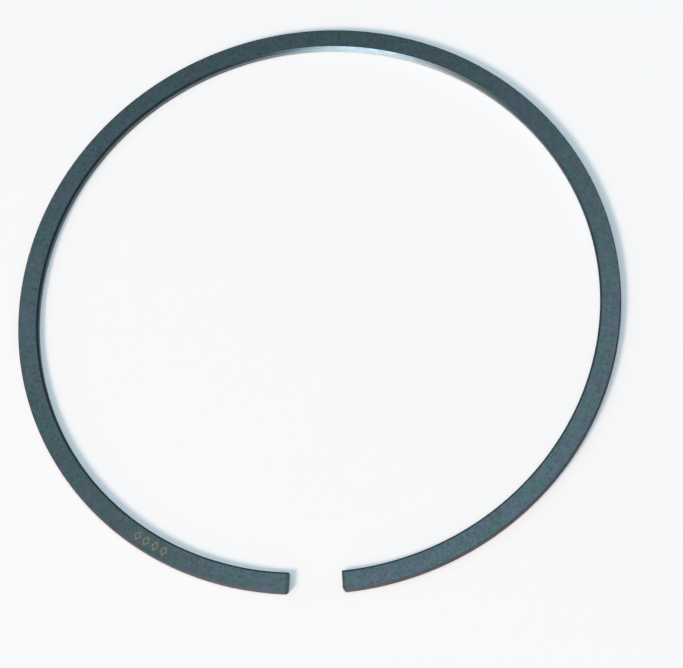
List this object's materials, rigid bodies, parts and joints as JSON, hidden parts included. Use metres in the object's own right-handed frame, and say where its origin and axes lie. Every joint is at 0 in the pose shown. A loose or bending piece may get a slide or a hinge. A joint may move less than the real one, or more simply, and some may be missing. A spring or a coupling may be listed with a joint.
{
  "type": "piston ring",
  "caption": "Split compression ring with a slightly barrelled running face, a bevelled upper inner edge and square-cut ends, sprung open as when free.",
  "frame": {"origin": "middle of the free ring's box, on the plane of its lower side", "axes": "+Z along the ring's axis, out of the upper side; -Y towards the gap between the ends; +X across the ring's widest place"},
  "size_m": [0.0826, 0.0814, 0.0012],
  "materials": {
    "ring": "matte"
  },
  "bodies": {
    "root": {"piston_ring": "ring"}
  },
  "joints": []
}
